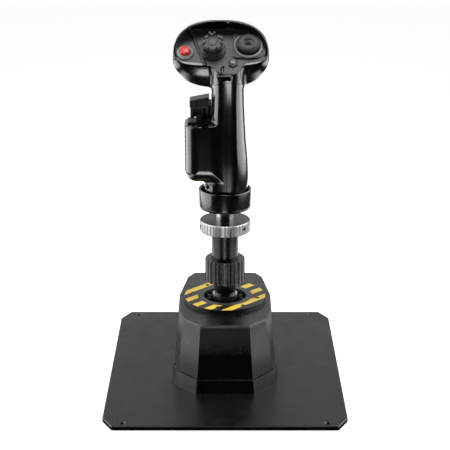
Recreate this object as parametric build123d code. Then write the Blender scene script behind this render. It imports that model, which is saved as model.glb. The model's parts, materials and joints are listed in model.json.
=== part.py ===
from build123d import *
import os
from math import cos, radians, sin

# A desk-mounted flight joystick: a heavy base plate, a faceted tower that holds a two-axis gimbal,
# a column with a splined sleeve and a locking ring, and a removable grip with buttons and hats.
# Millimetres. The origin is on the stick's axis where it meets the desk. +Z is up, and -Y is the
# pilot's side.

os.makedirs("parts", exist_ok=True)

# ---- driving dimensions -------------------------------------------------------------------
# base plate
feet_h = 2.0
plate_t = 5.0
plate_top = feet_h + plate_t
plate_w = 300.0
plate_front = -192.4
plate_rear = 167.6
plate_mid = (plate_front + plate_rear) / 2
corner_x = 13.0
corner_y = 23.0
mount_dx = 250.0
mount_dy = 340.0
mount_hole_r = 2.75

# tower: right half of each outline, from front to rear
skirt_top_z = 25.0
tower_bottom_z = 26.0
tower_top_z = 92.5
top_plate_t = 3.0
deck_z = tower_top_z + top_plate_t
wall = 3.0
skirt_foot = [(37, -105.2), (64.2, -75), (69, -50), (69.5, 24), (59.5, 92.5), (49, 109.5)]
skirt_rim = [(35.7, -102), (61.6, -73), (66.8, -48), (67.3, 22), (57.5, 89.7), (47.3, 106.5)]
tower_rim = [(31.2, -91.4), (52.2, -69.2), (59.5, -40.1), (60.6, 14.4), (51.2, 80.7), (42.3, 97)]
flange_t = 4.0

# deck ring and bezel
ring_top = 100.5
ring_r = 53.2
ring_bore = 36.0
bezel_r = 28.0
deck_bore = 38.0
ring_screw_r = 43.0

# gimbal
pivot_z = 82.0
hub_r = 16.5
hub_top = 104.0
axle_r = 3.0
running = 0.04
bearing_r = 6.5
bearing_w = 5.0
ear_in = 18.0
ear_out = 26.0
ear_r = 9.0
ear_z = 87.0
lobe_in = 17.8
lobe_out = 22.6
lobe_r = 7.0
lobe_z = 94.0
yoke_x = 27.0
yoke_y = 34.0
post_in = 45.0
post_out = 53.0
arm_z = 52.0
spring_r = 4.3
wire_r = 0.6

# column
adapter_top = 122.8
column_r = 17.5
column_wall = 3.0
column_top = 198.0
sleeve_r = 26.0
sleeve_top = 153.9
sleeve_ribs = 22
lock_r = 33.0
lock_bottom = 191.5
lock_top = 206.5
lock_grooves = 42
post_r = 12.0
collar_bottom = 222.0
collar_top = 249.0
collar_r = 34.0
collar_bore = 30.4
collar_floor = 4.0

# grip: each section is height, centre x, half width, centre y, half depth
skin = 3.0
split_x = 2.0
grip_sections = [
    (229.0, 0.2, 28.4, 0.0, 28.4),
    (247.0, 0.8, 28.8, -0.2, 28.8),
    (259.0, 1.5, 28.6, -0.5, 29.0),
    (286.0, 2.2, 27.0, -1.5, 29.5),
    (315.0, 2.8, 24.4, -3.0, 28.5),
    (341.0, 3.2, 21.9, -5.0, 26.5),
    (371.0, 3.4, 20.6, -7.0, 24.5),
    (392.0, 2.5, 21.0, -9.0, 25.0),
    (408.0, 0.0, 24.0, -12.0, 26.0),
]
pod_left = -51.0
pod_front = -30.0
pod_rear = 20.0
pod_bottom = 262.0
pod_top = 336.0
pod_edge = 11.0

# head: a wide pillow shape with a hollow cut into its front, above a sloping panel
head_at = (-5.2, -2.0, 423.0)
head_rx = 59.8
head_rz = 41.5
head_front = 27.0
head_rear = 30.0
bowl_wall = 4.2
bowl_rear = 19.0
rim_tilt = 24.0
panel_tilt = 48.0
panel_t = 3.0
seam_z = 415.5
cap_x = -27.0

# controls on the panel: across, up, and the sizes of each
trim_at = (28.6, 30.0)
castle_at = (-15.1, 25.4)
red_at = (-49.0, 21.6)
event_at = (9.8, 5.7)
hat_pivot = -6.0
hat_housing_r = 9.0
red_r = 6.2
red_travel = 2.0
event_r = 3.2
event_travel = 1.5

# rear controls
frame_x0 = -4.0
frame_x1 = 11.0
cheek_t = 2.0
trigger_pivot = (7.0, 372.0)
paddle_pivot = (18.0, 292.0)
pin_r = 2.0
switch_pivot_z = 344.0
switch_mid_x = -32.5

panel = Plane(
    origin=(0, -30, 412),
    x_dir=(1, 0, 0),
    z_dir=(0, -cos(radians(panel_tilt)), sin(radians(panel_tilt))),
)
rim = Plane(
    origin=(0, -20, 420),
    x_dir=(1, 0, 0),
    z_dir=(0, -cos(radians(rim_tilt)), sin(radians(rim_tilt))),
)
cap_plane = Plane(origin=(cap_x, 0, 416), x_dir=(0, 1, 0), z_dir=(-0.886, 0, -0.465))


# ---- building blocks ----------------------------------------------------------------------
def disc(r, z0, z1, x=0.0, y=0.0):
    return Pos(x, y, z0) * Cylinder(r, z1 - z0, align=(Align.CENTER, Align.CENTER, Align.MIN))


def tube(outer, inner, z0, z1, x=0.0, y=0.0):
    return disc(outer, z0, z1, x, y) - disc(inner, z0 - 1, z1 + 1, x, y)


def taper(r0, r1, z0, z1, x=0.0, y=0.0):
    return Pos(x, y, z0) * Cone(r0, r1, z1 - z0, align=(Align.CENTER, Align.CENTER, Align.MIN))


def slab(x0, x1, y0, y1, z0, z1):
    return Pos((x0 + x1) / 2, (y0 + y1) / 2, (z0 + z1) / 2) * Box(x1 - x0, y1 - y0, z1 - z0)


def along_x(r, x0, x1, y, z):
    return Pos((x0 + x1) / 2, y, z) * Rot(Y=90) * Cylinder(r, x1 - x0)


def along_y(r, y0, y1, x, z):
    return Pos(x, (y0 + y1) / 2, z) * Rot(X=90) * Cylinder(r, y1 - y0)


def polar(r, degrees):
    return (r * cos(radians(degrees)), r * sin(radians(degrees)))


def bar(profile, x0, x1):
    """A flat profile in the YZ plane, made x1 - x0 thick."""
    face = make_face(Plane.YZ * Polyline(*profile, close=True))
    return Pos(x0, 0, 0) * extrude(face, x1 - x0, dir=(1, 0, 0))


def flat_screw(r, head_r, length):
    """A countersunk hex-socket screw with its head's top at the origin, pointing down."""
    screw = taper(r, head_r, -(head_r - r), 0) + disc(r, -length, 0)
    socket = extrude(RegularPolygon(r * 0.62, 6), r, dir=(0, 0, -1))
    return screw - socket


def flat_hole(r, head_r, length, gap=0.05):
    sink = taper(r + gap, head_r + gap, -(head_r - r), 0.001)
    mouth = disc(head_r + gap, 0, 2)
    return sink + mouth + disc(r + gap, -length - 0.2, 0)


def outline(half, z, inset=0.0):
    """The full outline of the tower at a height, from its right half."""
    left = [(-x, y) for x, y in reversed(half)]
    face = make_face(Polyline(*half, *left, close=True))
    if inset:
        face = offset(face, -inset, kind=Kind.INTERSECTION)
    return Pos(0, 0, z) * face


def shell_between(low, z0, high, z1, inset=0.0):
    return loft([outline(low, z0, inset), outline(high, z1, inset)], ruled=True)


def coil(length, turns):
    """A compression spring along +Z from the origin."""
    path = Helix(pitch=(length - 2 * wire_r) / turns, height=length - 2 * wire_r, radius=spring_r)
    wire = Plane(origin=path @ 0, z_dir=path % 0) * Circle(wire_r)
    return Pos(0, 0, wire_r) * sweep(wire, path=path)


def save(name, shape):
    export_step(shape, f"parts/{name}.step")


def save_group(name, solids):
    save(name, Compound(children=[piece for solid in solids for piece in solid.solids()]))


# ---- base plate ---------------------------------------------------------------------------
plate_screw_spots = [
    (sx * x, y) for sx in (-1, 1) for x, y in [(25, -96), (60, -30), (60, 20), (30, 100)]
]
frame_screw_spots = [(sx * 42, sy * 50) for sx in (-1, 1) for sy in (-1, 1)]
mount_spots = [
    (sx * mount_dx / 2, plate_mid + sy * mount_dy / 2) for sx in (-1, 1) for sy in (-1, 1)
]


def base_plate():
    x = plate_w / 2
    right = [
        (x - corner_x, plate_front),
        (x, plate_front + corner_y),
        (x, plate_rear - corner_y),
        (x - corner_x, plate_rear),
    ]
    left = [(-px, py) for px, py in reversed(right)]
    plate = Pos(0, 0, feet_h) * extrude(make_face(Polyline(*right, *left, close=True)), plate_t)
    plate = chamfer(plate.faces().sort_by(Axis.Z)[-1].edges(), 0.8)
    for px, py in mount_spots:
        plate -= disc(mount_hole_r, 0, plate_top + 1, px, py)
        plate -= taper(mount_hole_r, 4.4, plate_top - 1.65, plate_top, px, py)
    for px, py in plate_screw_spots + frame_screw_spots:
        plate -= Pos(px, py, feet_h) * Rot(X=180) * flat_hole(2.0, 4.0, 12)
    return plate


def rubber_feet():
    rows = (plate_front + 32, plate_mid, plate_rear - 32)
    corners = [disc(11, 0, feet_h, sx * 128, y) for sx in (-1, 1) for y in rows]
    return corners + [disc(14, 0, feet_h)]


def plate_screws():
    spots = plate_screw_spots + frame_screw_spots
    screw = Rot(X=180) * flat_screw(2.0, 4.0, 8.6)
    return [Pos(x, y, feet_h) * screw for x, y in spots]


# ---- tower --------------------------------------------------------------------------------
def tower_skirt():
    band = shell_between(skirt_foot, plate_top, skirt_rim, skirt_top_z)
    hollow = shell_between(skirt_foot, plate_top, skirt_rim, skirt_top_z, wall)
    flange = extrude(outline(skirt_foot, plate_top, 1), flange_t)
    flange -= extrude(outline(skirt_foot, plate_top - 1, 15), flange_t + 2)
    lip = extrude(outline(skirt_rim, skirt_top_z - 6, 1.5), 6)
    lip += extrude(outline(skirt_rim, skirt_top_z - 6, 5.4), 11)
    lip -= extrude(outline(skirt_rim, skirt_top_z - 7, 8.4), 14)
    skirt = band - hollow + flange + lip
    for px, py in plate_screw_spots:
        skirt -= disc(2.05, plate_top - 1, plate_top + flange_t + 1, px, py)
    return skirt - slab(-6.4, 6.4, 90, 120, 13.4, 20.4)


deck_screw_spots = [
    (sx * x, y) for sx in (-1, 1) for x, y in [(23.5, -58), (31.5, -57), (55, 15), (42, 64)]
]


def tower_housing():
    low = [(x * 0.985, y * 0.985) for x, y in skirt_rim]
    body = shell_between(low, tower_bottom_z, tower_rim, tower_top_z)
    hollow = shell_between(low, tower_bottom_z, tower_rim, tower_top_z, wall)
    top = extrude(outline(tower_rim, tower_top_z - 3, 1), 3) & body
    top -= slab(-36, 36, -54, 68, 80, 100)
    body = body - hollow + top
    for px, py in deck_screw_spots:
        body += disc(4, tower_top_z - 8, tower_top_z, px, py) & shell_between(
            low, tower_bottom_z, tower_rim, tower_top_z
        )
        body -= disc(1.55, tower_top_z - 7.5, tower_top_z + 1, px, py)
    return body


def top_plate():
    plate = extrude(outline(tower_rim, tower_top_z), top_plate_t)
    plate = chamfer(plate.faces().sort_by(Axis.Z)[-1].edges(), 0.9)
    plate -= disc(deck_bore, tower_top_z - 1, deck_z + 1)
    for px, py in deck_screw_spots:
        plate -= Pos(px, py, deck_z) * flat_hole(1.5, 3.0, 12)
    for i in range(8):
        px, py = polar(ring_screw_r, 33 + 45 * i)
        plate -= disc(1.55, tower_top_z - 1, deck_z + 1, px, py)
    return plate


def top_plate_screws():
    return [Pos(x, y, deck_z) * flat_screw(1.5, 3.0, 9.5) for x, y in deck_screw_spots]


def hazard_ring():
    ring = tube(ring_r, ring_bore, deck_z, ring_top) - disc(38.1, deck_z - 1, deck_z + 1.55)
    for i in range(8):
        px, py = polar(ring_screw_r, 33 + 45 * i)
        ring -= Pos(px, py, ring_top) * flat_hole(1.5, 3.0, 8)
    return ring


def ring_screws():
    spots = [polar(ring_screw_r, 33 + 45 * i) for i in range(8)]
    return [Pos(x, y, ring_top) * flat_screw(1.5, 3.0, 7.6) for x, y in spots]


def opening_bezel():
    bezel = tube(ring_bore - 0.1, bezel_r, deck_z, ring_top) + tube(38, bezel_r, deck_z, deck_z + 1.5)
    return bezel


# ---- gimbal -------------------------------------------------------------------------------
def gimbal_frame():
    frame = slab(-48, 48, -58, 58, plate_top, plate_top + flange_t)
    frame -= slab(-30, 30, -40, 40, 0, 20)
    for side in (-1, 1):
        inner, outer = sorted((side * post_in, side * post_out))
        post = slab(-14, 14, inner, outer, plate_top, 91.5)
        post += slab(-24, 24, inner, outer, plate_top, 40)
        seat = sorted((side * (post_in + 1), side * (post_in + 10)))
        post -= along_y(bearing_r, seat[0], seat[1], 0, pivot_z)
        post -= along_y(4.5, inner - 1, outer + 1, 0, pivot_z)
        frame += post
        frame += slab(side * 42 - 2, side * 42 + 2, -46, -34, plate_top, 60)
        frame += along_y(2, post_out - 1, 61, side * 10.5, 75)
    for px, py in frame_screw_spots:
        frame -= disc(2.05, plate_top - 1, plate_top + flange_t + 1, px, py)
    return frame


def bearing_along_y(y0):
    return along_y(bearing_r, y0, y0 + bearing_w, 0, pivot_z) - along_y(
        axle_r + running, y0 - 1, y0 + bearing_w + 1, 0, pivot_z
    )


def roll_bearings():
    return [bearing_along_y(-post_in - 1 - bearing_w), bearing_along_y(post_in + 1)]


def gimbal_yoke():
    yoke = slab(-yoke_x, yoke_x, -yoke_y, yoke_y, 70, 84) - slab(-ear_in, ear_in, -30, 30, 60, 100)
    for side in (-1, 1):
        x0, x1 = sorted((side * ear_in, side * ear_out))
        yoke += slab(x0, x1, -ear_r, ear_r, 70, ear_z) + along_x(ear_r, x0, x1, 0, ear_z)
        x0, x1 = sorted((side * lobe_in, side * lobe_out))
        yoke += slab(x0, x1, -lobe_r, lobe_r, 84, lobe_z) + along_x(lobe_r, x0, x1, 0, lobe_z)
        y0, y1 = sorted((side * 30, side * yoke_y))
        yoke += slab(-10, 10, y0, y1, 44, 80) + along_y(7, y0, y1, 0, pivot_z)
        yoke += along_x(1.5, ear_out - 1, 32, side * 5.5, 74)
    yoke += slab(-2.5, 2.5, -44, -yoke_y, arm_z - 6, arm_z + 6)
    for side in (-1, 1):
        seat = sorted((side * 20, side * (ear_out + 1)))
        yoke -= along_x(bearing_r, seat[0], seat[1], 0, pivot_z)
        yoke -= along_x(4.5, *sorted((side * 17, side * 21)), 0, pivot_z)
    return yoke - along_y(axle_r, -yoke_y - 1, yoke_y + 1, 0, pivot_z)


def roll_axles():
    return [along_y(axle_r, -56, -30, 0, pivot_z), along_y(axle_r, 30, 56, 0, pivot_z)]


def roll_magnet():
    return along_y(4, 56, 59, 0, pivot_z)


def sensor_board(width, height):
    """A small board lying in XY with a sensor chip on its upper side."""
    board = Pos(0, 0, 0.8) * Box(width, height, 1.6)
    return board + Pos(0, 0, 2.1) * Box(5, 5, 1.0) + Pos(0, -height / 2 + 3, 2.4) * Box(7, 4, 1.6)


def roll_sensor():
    return Pos(0, 62.7, pivot_z - 1) * Rot(X=90) * sensor_board(26, 18)


def pitch_bearings():
    rings = []
    for x0 in (-20 - bearing_w, 20):
        ring = along_x(bearing_r, x0, x0 + bearing_w, 0, pivot_z)
        rings.append(ring - along_x(axle_r + running, x0 - 1, x0 + bearing_w + 1, 0, pivot_z))
    return rings


def pitch_sensor():
    return Pos(33.6, 0, pivot_z - 4) * Rot(Y=-90) * Rot(Z=90) * sensor_board(16, 14)


def roll_springs():
    right = Pos(2.8, -39.5, arm_z) * Rot(Y=90) * coil(37, 10)
    left = Pos(-2.8, -39.5, arm_z) * Rot(Y=-90) * coil(37, 10)
    return [right, left]


def pitch_springs():
    rear = Pos(0, 4.2, arm_z) * Rot(X=-90) * coil(25.5, 7)
    front = Pos(0, -4.2, arm_z) * Rot(X=90) * coil(25.5, 7)
    return [rear, front]


# ---- electronics in the tower ----------------------------------------------------------------
def main_board():
    board = slab(-28, 28, 60, 98, 12, 13.6)
    board += slab(-8, 4, 70, 82, 13.6, 15) + slab(12, 22, 68, 74, 13.6, 19)
    board += slab(-24, -16, 86, 92, 13.6, 16)
    for sx in (-1, 1):
        for y in (63, 88):
            board += disc(2.8, plate_top, 12, sx * 24.5, y)
    return board


def usb_socket():
    shell = slab(-6, 6, 92, 106, 13.65, 19.8) - slab(-5.3, 5.3, 95, 107, 14.4, 19.1)
    return shell + slab(-4.4, 4.4, 94, 104, 16, 17.4)


# ---- stick --------------------------------------------------------------------------------
def hub():
    body = disc(hub_r, 66, hub_top)
    body += slab(-4, 4, -4, 4, 44, 70)
    body -= along_x(axle_r, -20, 20, 0, pivot_z)
    return body - disc(5, 72, hub_top + 1) - along_y(2.6, 0, 20, 0, 75.4)


def pitch_axles():
    return [along_x(axle_r, -27, -6, 0, pivot_z), along_x(axle_r, 6, 28, 0, pivot_z)]


def pitch_magnet():
    return along_x(3.5, 28, 30.4, 0, pivot_z)


def shaft_adapter():
    """A waisted collar: narrow where it meets the hub, flared under the column."""
    flare = ThreePointArc((13, 104), (14.2, 113), (16.5, adapter_top))
    profile = make_face(
        Plane.XZ * (flare + Polyline((16.5, adapter_top), (5, adapter_top), (5, 104), (13, 104)))
    )
    return revolve(profile, Axis.Z)


def column():
    body = tube(column_r, column_r - column_wall, adapter_top, column_top)
    body += tube(column_r, 5, adapter_top, adapter_top + 6)
    return body


def splined_sleeve():
    body = tube(sleeve_r, column_r + running, adapter_top, sleeve_top)
    body = chamfer(body.faces().sort_by(Axis.Z)[-1].edges().sort_by(SortBy.RADIUS)[-1], 0.8)
    for i in range(sleeve_ribs):
        x, y = polar(sleeve_r + 1.2, 360 / sleeve_ribs * i)
        body -= disc(3.1, adapter_top - 1, sleeve_top + 1, x, y)
    return body


def locking_ring():
    body = tube(lock_r, post_r + 0.1, lock_bottom, lock_top)
    body = chamfer(body.edges().filter_by(GeomType.CIRCLE).sort_by(SortBy.RADIUS)[-2:], 1.2)
    body -= disc(column_r + running, lock_bottom - 1, 201.7)
    for i in range(lock_grooves):
        x, y = polar(lock_r + 0.3, 360 / lock_grooves * (i + 0.5))
        body -= disc(1.15, lock_bottom - 1, lock_top + 1, x, y)
    for degrees in (-41, -161, 79):
        body -= Rot(Z=degrees) * along_x(2.5, lock_r - 7, lock_r + 1, 0, 199.5)
    return body


def connector_post():
    body = tube(post_r, 7.5, column_top + 3, 231)
    return body + tube(column_r - 0.1, 7.5, column_top, column_top + 3.5)


def post_nut():
    ring = extrude(RegularPolygon(18, 6), 4) - Cylinder(post_r, 20)
    return Pos(0, 0, collar_bottom + collar_floor) * ring


def connector_plug():
    body = tube(7.4, 5.4, 204, 216) + disc(7.4, 202, 205)
    for i in range(5):
        x, y = polar(3.2, 72 * i)
        body += disc(0.6, 204, 212, x, y)
    return body


def stick_cable():
    return disc(2.4, 74, 202)


def grip_collar():
    body = disc(collar_r, collar_bottom, collar_top)
    body = fillet(body.faces().sort_by(Axis.Z)[0].edges(), 3.6)
    body = fillet(body.faces().sort_by(Axis.Z)[-1].edges(), 1.2)
    body -= disc(collar_bore, collar_bottom + collar_floor, collar_top + 1)
    return body - disc(post_r, collar_bottom - 1, collar_top)


# ---- grip ---------------------------------------------------------------------------------
def grip_body(inset=0.0):
    faces = []
    for z, cx, hx, cy, hy in grip_sections:
        if inset and z == grip_sections[0][0]:
            z = z - 1
        faces.append(Pos(cx, cy, z) * Ellipse(hx - inset, hy - inset))
    return loft(faces)


def pod_block(inset=0.0):
    middle = (pod_front + pod_rear) / 2
    half = (pod_rear - pod_front) / 2 - inset
    block = slab(
        pod_left + inset, 6, middle - half, middle + half, pod_bottom + inset, pod_top - inset
    )
    low = block.faces().sort_by(Axis.X)[0].edges().sort_by(Axis.Z)[0]
    block = fillet(low, 15 - inset)
    side = block.edges().filter_by(lambda e: e.center().X < pod_left + 16 and e.center().Z < 335 - inset)
    side = side.filter_by(lambda e: abs(abs(e.center().Y - middle) - half) < 0.01)
    return fillet(side, pod_edge - inset / 2)


def head_plan(half_x, front, rear):
    """A rounded rectangle that bulges slightly, deeper at the rear than at the front."""
    points = []
    for degrees in range(0, 360, 15):
        c, s = cos(radians(degrees)), sin(radians(degrees))
        depth = rear if s > 0 else front
        x = abs(c) ** 0.5 * half_x * (1 if c > 0 else -1)
        y = abs(s) ** 0.5 * depth * (1 if s > 0 else -1)
        points.append((head_at[0] + x, head_at[1] + y))
    return make_face(Spline(*points, periodic=True))


def head_ball(inset=0.0, rear=head_rear):
    sections = []
    for level in (-0.985, -0.9, -0.75, -0.5, -0.2, 0.2, 0.5, 0.75, 0.9, 0.985):
        size = (1 - abs(level) ** 2.3) ** (1 / 2.3)
        plan = head_plan(size * (head_rx - inset), size * (head_front - inset), size * rear)
        sections.append(Pos(0, 0, head_at[2] + level * (head_rz - inset)) * plan)
    return loft(sections)


def above(plane, height=0.0):
    return plane * Pos(0, 0, height + 100) * Box(400, 400, 200)


def grip_solid():
    """The whole outside of the grip: handle, side pod and head, with the bowl cut out of it."""
    solid = grip_body() + pod_block() + head_ball()
    solid -= above(rim) & above(panel)
    return solid - (head_ball(bowl_wall, bowl_rear) & above(panel))


def head_zone(lift=0.0):
    """The space of the head housing: everything above its seam, and a tongue down the neck."""
    arc = ThreePointArc((-80, seam_z + 6), (0, seam_z), (80, seam_z + 6))
    lid = make_face(Plane.XZ * (arc + Polyline((80, seam_z + 6), (80, 480), (-80, 480), (-80, seam_z + 6))))
    left = Polyline((5, 418), (-25, 418), (-17, 411), (-14, 404), (-14, 388.2))
    foot = ThreePointArc((-14, 388.2), (5, 393.5), (22, 389.3))
    right = Polyline((22, 389.3), (19, 400), (20, 408), (28, 418), (5, 418))
    tongue = make_face(Plane.XZ * (left + foot + right))
    zone = extrude(lid, 80, both=True) + Pos(0, -8, 0) * extrude(tongue, 60, dir=(0, -1, 0))
    return Pos(0, 0, lift) * zone


def cap_side(gap=0.0):
    return above(cap_plane, gap) & slab(-200, 0, -200, 200, seam_z - 4.5, 600)


def grip_bosses():
    return [(-17.0, 255.5), (11.5, 277.0), (8.0, 398.0)]


def grip_shells():
    """The two halves of the grip, the head housing and the housing's end cap."""
    outside = grip_solid()
    bosses = outside & along_x(4, -70, 70, *grip_bosses()[0])
    for y, z in grip_bosses()[1:]:
        bosses += outside & along_x(4, -70, 70, y, z)
    inside = grip_body(skin) + pod_block(skin) + head_ball(skin, head_rear - skin)
    hollow = inside - above(panel, -panel_t)
    zone = head_zone()
    shell = outside - hollow + bosses - zone
    shell -= slab(-1.8, 8.8, 5, 60, 334, 381)
    shell -= slab(-1.8, 8.8, 15, 60, 262, 300)
    for y, z in grip_bosses():
        shell -= along_x(1.65, -14, 16, y, z)
        shell -= along_x(3.4, -80, -14, y, z)
    left = shell & slab(-100, split_x, -100, 100, 200, 500)
    right = shell & slab(split_x, 100, -100, 100, 200, 500)
    head = (outside - hollow) & zone & head_zone(0.1)
    for at, r in [(trim_at, 6.0), (castle_at, 6.0), (red_at, 4.0), (event_at, 2.2)]:
        head -= on_panel(at, Cylinder(r, 40))
    return left, right, head - cap_side(), head & cap_side(0.1)


def grip_screws():
    screws = []
    for y, z in grip_bosses():
        screws.append(along_x(1.6, -14, 14, y, z) + along_x(3.0, -17, -14, y, z))
    return screws


def on_panel(at, shape):
    return panel * Pos(at[0], at[1], 0) * shape


def hat_housing(at):
    """A cup under the panel that carries a hat's cross ring on two pins."""
    cup = tube(hat_housing_r, 7.0, -13, -panel_t - 0.05) + disc(hat_housing_r, -14, -12)
    cup -= along_x(1.05, -12, 12, 0, hat_pivot)
    return on_panel(at, cup)


def hat_cross(at):
    ring = tube(6.0, 4.0, hat_pivot - 1.3, hat_pivot + 1.3)
    ring += along_x(1.0, 5, 8.5, 0, hat_pivot) + along_x(1.0, -8.5, -5, 0, hat_pivot)
    ring -= along_y(1.05, -12, 12, 0, hat_pivot)
    return on_panel(at, ring)


def hat_stem(top):
    return disc(2.4, hat_pivot - 3, top) + along_y(1.0, -5.6, 5.6, 0, hat_pivot)


def castle_ring():
    ring = tube(16, 6.5, 0, 2) + tube(14.5, 6.5, 2, 4) + tube(13, 6.5, 4, 6)
    return on_panel(castle_at, ring)


def castle_hat():
    cap = disc(11.5, 12.5, 17) + taper(11.5, 8.5, 17, 18.7)
    for i in range(8):
        x, y = polar(11.8, 45 * i + 22.5)
        cap -= disc(2.2, 12, 20, x, y)
    cap += hat_stem(13) + taper(4.5, 8, 8.5, 12.6)
    return on_panel(castle_at, cap)


def trim_ring():
    pad = Pos(0, 2, 0) * extrude(RectangleRounded(36, 38, 5), 2.5)
    ring = pad + tube(17.4, 15.2, 2.4, 3.6) - disc(6.5, -1, 10)
    return on_panel(trim_at, ring) & head_ball(bowl_wall + 0.2, bowl_rear - 0.2)


def trim_hat():
    cap = disc(14, 7.6, 10.5) + taper(14, 12, 10.5, 11.6)
    cap += tube(11.4, 9, 11.5, 12.1) + taper(4.4, 3, 11.5, 13)
    cap += hat_stem(8) + taper(5, 9, 5.2, 7.7)
    return on_panel(trim_at, cap)


def red_bezel():
    ring = tube(10, red_r + 0.3, 0, 1.8) + tube(8.4, red_r + 0.3, 1.7, 3.2)
    return on_panel(red_at, ring) & head_ball(bowl_wall + 0.2, bowl_rear - 0.2)


def red_button():
    cap = disc(red_r, 2.2, 6.4) + taper(red_r, red_r - 0.9, 6.4, 7.3)
    return on_panel(red_at, cap + disc(3.4, -8, 2.3))


def event_collar():
    ring = extrude(RegularPolygon(6.4, 6), 2.4) - disc(event_r + 0.3, -1, 5)
    return on_panel(event_at, ring)


def event_button():
    cap = disc(event_r, 1.7, 3.6) + taper(event_r, event_r - 0.5, 3.6, 4.1)
    return on_panel(event_at, cap + disc(1.8, -7, 1.8))


def grip_frame():
    """The metal frame inside the handle that carries the pins of the trigger and the paddle."""
    cheek = [(-12, 284), (22, 284), (22, 298), (11, 330), (11, 379), (-12, 379)]
    frame = bar(cheek, frame_x0, frame_x0 + cheek_t) + bar(cheek, frame_x1 - cheek_t, frame_x1)
    frame += slab(frame_x0, frame_x1, -12, -10, 246, 379)
    frame += slab(frame_x0, frame_x1, -12, 0, 244, 246.5)
    for y, z in (trigger_pivot, paddle_pivot):
        frame -= along_x(pin_r, frame_x0 - 1, frame_x1 + 1, y, z)
    return frame


def rear_pins():
    return [along_x(pin_r, frame_x0, frame_x1, y, z) for y, z in (trigger_pivot, paddle_pivot)]


def trigger():
    y, z = trigger_pivot
    blade = [
        (y - 4, z - 3), (y - 3, z + 4), (y + 14, z + 3), (y + 24, z - 4), (y + 21, z - 16),
        (y + 23, z - 28), (y + 29, z - 38), (y + 26, z - 39), (y + 18, z - 28), (y + 16, z - 14),
        (y + 10, z - 8), (y + 2, z - 6),
    ]
    body = bar(blade, -1.4, 8.4) - along_x(pin_r + running, -5, 12, y, z)
    return body


def paddle():
    y, z = paddle_pivot
    lever = [
        (y - 3, z - 4), (y - 3, z + 4), (y + 12, z + 3), (y + 20, z - 6), (y + 22, z - 38),
        (y + 19, z - 38), (y + 16, z - 9), (y + 8, z - 4),
    ]
    body = bar(lever, -1.4, 8.4)
    body += slab(-8, 15, y + 19, y + 21.8, z - 40, z - 12)
    return body - along_x(pin_r + running, -5, 12, y, z)


def grip_board():
    board = slab(-10, 14, -15.6, -14, 262, 372)
    return board + slab(-6, 4, -17.4, -15.6, 300, 310) + slab(-8, 10, -19.6, -15.6, 322, 328)


def side_switch_base():
    base = slab(-47, -20, -13, 13, pod_top, pod_top + 2.4)
    for y0 in (-13, 10.6):
        base += slab(-36, -29, y0, y0 + 2.4, pod_top, switch_pivot_z + 3.5)
    return base - along_y(pin_r, -20, 20, switch_mid_x, switch_pivot_z)


def side_switch_pin():
    return along_y(pin_r, -13, 13, switch_mid_x, switch_pivot_z)


def side_switch():
    """A thumb lever that rocks from side to side on a pin above the pod."""
    body = slab(-43.5, -22.5, -10, 10, 346, 358) + slab(-44.5, -21.5, -13, 13, 358, 366)
    body += along_y(4.2, -10, 10, switch_mid_x, switch_pivot_z)
    return body - along_y(pin_r + running, -20, 20, switch_mid_x, switch_pivot_z)


# ---- write every piece --------------------------------------------------------------------
left_shell, right_shell, head_housing, head_end_cap = grip_shells()

save("base_plate", base_plate())
save_group("rubber_feet", rubber_feet())
save_group("plate_screws", plate_screws())
save("tower_skirt", tower_skirt())
save("tower_housing", tower_housing())
save("top_plate", top_plate())
save_group("top_plate_screws", top_plate_screws())
save("hazard_ring", hazard_ring())
save_group("ring_screws", ring_screws())
save("opening_bezel", opening_bezel())
save("gimbal_frame", gimbal_frame())
save_group("roll_bearings", roll_bearings())
save_group("roll_springs", roll_springs())
save("roll_sensor", roll_sensor())
save("main_board", main_board())
save("usb_socket", usb_socket())
save("gimbal_yoke", gimbal_yoke())
save_group("roll_axles", roll_axles())
save("roll_magnet", roll_magnet())
save_group("pitch_bearings", pitch_bearings())
save_group("pitch_springs", pitch_springs())
save("pitch_sensor", pitch_sensor())
save("hub", hub())
save_group("pitch_axles", pitch_axles())
save("pitch_magnet", pitch_magnet())
save("shaft_adapter", shaft_adapter())
save("column", column())
save("splined_sleeve", splined_sleeve())
save("locking_ring", locking_ring())
save("connector_post", connector_post())
save("post_nut", post_nut())
save("connector_plug", connector_plug())
save("stick_cable", stick_cable())
save("grip_collar", grip_collar())
save("grip_left_shell", left_shell)
save("grip_right_shell", right_shell)
save_group("grip_screws", grip_screws())
save("head_housing", head_housing)
save("head_end_cap", head_end_cap)
save("grip_frame", grip_frame())
save("grip_board", grip_board())
save_group("rear_pins", rear_pins())
save("trigger", trigger())
save("paddle", paddle())
save("castle_ring", castle_ring())
save("castle_housing", hat_housing(castle_at))
save("castle_cross", hat_cross(castle_at))
save("castle_hat", castle_hat())
save("trim_ring", trim_ring())
save("trim_housing", hat_housing(trim_at))
save("trim_cross", hat_cross(trim_at))
save("trim_hat", trim_hat())
save("red_bezel", red_bezel())
save("red_button", red_button())
save("event_collar", event_collar())
save("event_button", event_button())
save("side_switch_base", side_switch_base())
save("side_switch_pin", side_switch_pin())
save("side_switch", side_switch())
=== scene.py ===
import json
from itertools import product
from math import cos, pi, radians, sin, tau

import bmesh
import bpy
import numpy as np
from mathutils import Matrix, Vector


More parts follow.
